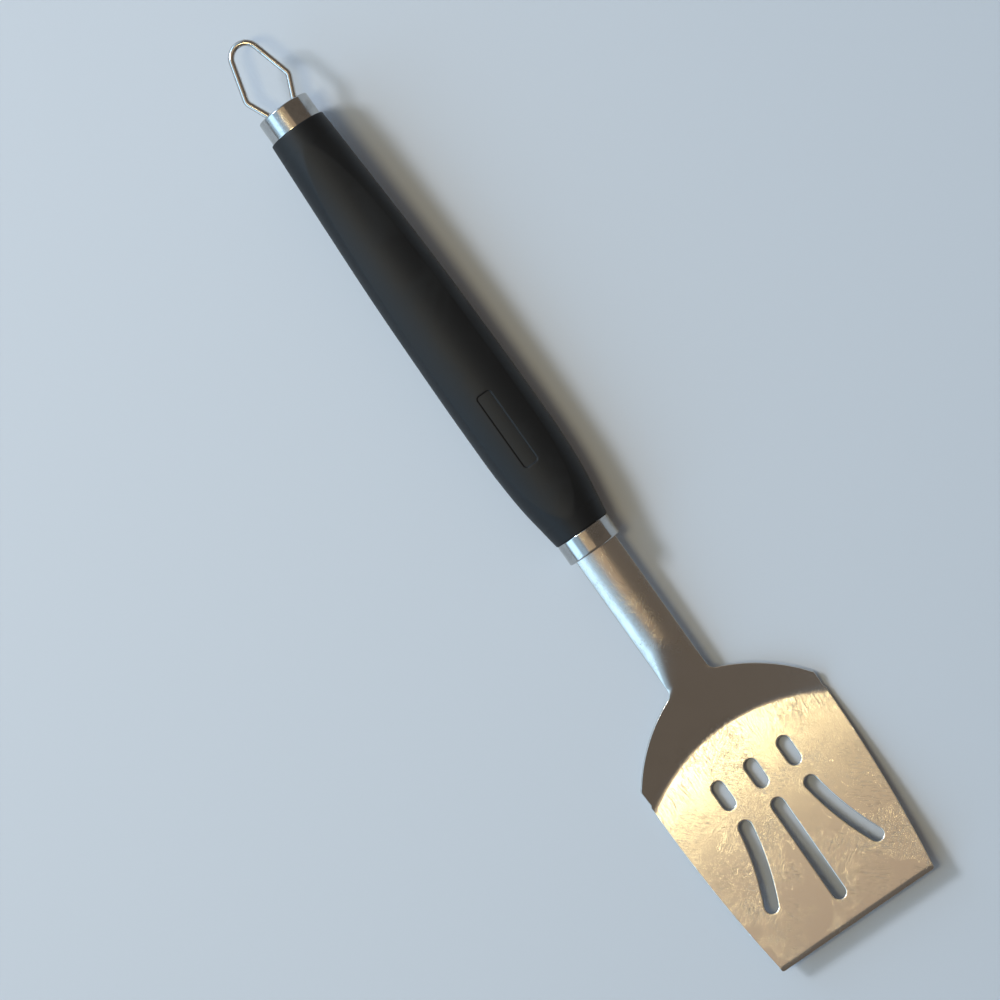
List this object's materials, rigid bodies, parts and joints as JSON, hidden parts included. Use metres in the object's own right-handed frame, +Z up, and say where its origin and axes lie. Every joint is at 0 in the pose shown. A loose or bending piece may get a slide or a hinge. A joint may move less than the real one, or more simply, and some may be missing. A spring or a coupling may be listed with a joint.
{
  "type": "grill spatula",
  "caption": "Long-handled slotted grill turner: dished stainless blade on an arched neck, oval soft-grip handle with metal end caps and a wire hanging loop.",
  "frame": {"origin": "on the surface that the tool lies on, under the middle of its length and width", "axes": "+X from the hanging loop to the blade's front edge, +Y across the blade, +Z up"},
  "size_m": [0.4793, 0.0962, 0.0355],
  "materials": {
    "brushed_stainless": "brushed, lightly scratched",
    "polished_stainless": "polished",
    "soft_grip": "matte soft touch",
    "core_plastic": "moulded, matte",
    "plain_steel": "zinc plated",
    "bright_wire": "polished wire"
  },
  "bodies": {
    "handle": {"blade_head": "brushed_stainless", "front_ferrule": "polished_stainless", "handle_core": "core_plastic", "handle_grip": "soft_grip", "tang_pins": "plain_steel", "rear_ferrule": "polished_stainless", "upper_plug_half": "core_plastic", "lower_plug_half": "core_plastic", "plug_screw": "plain_steel"},
    "loop": {"hanging_loop": "bright_wire"}
  },
  "joints": [
    {"name": "loop_swing", "type": "hinge", "parent": "handle", "child": "loop", "pos_m": [-0.19828, 0, 0.02243], "axis": [0, 1, 0], "range_deg": [-40, 40]}
  ]
}
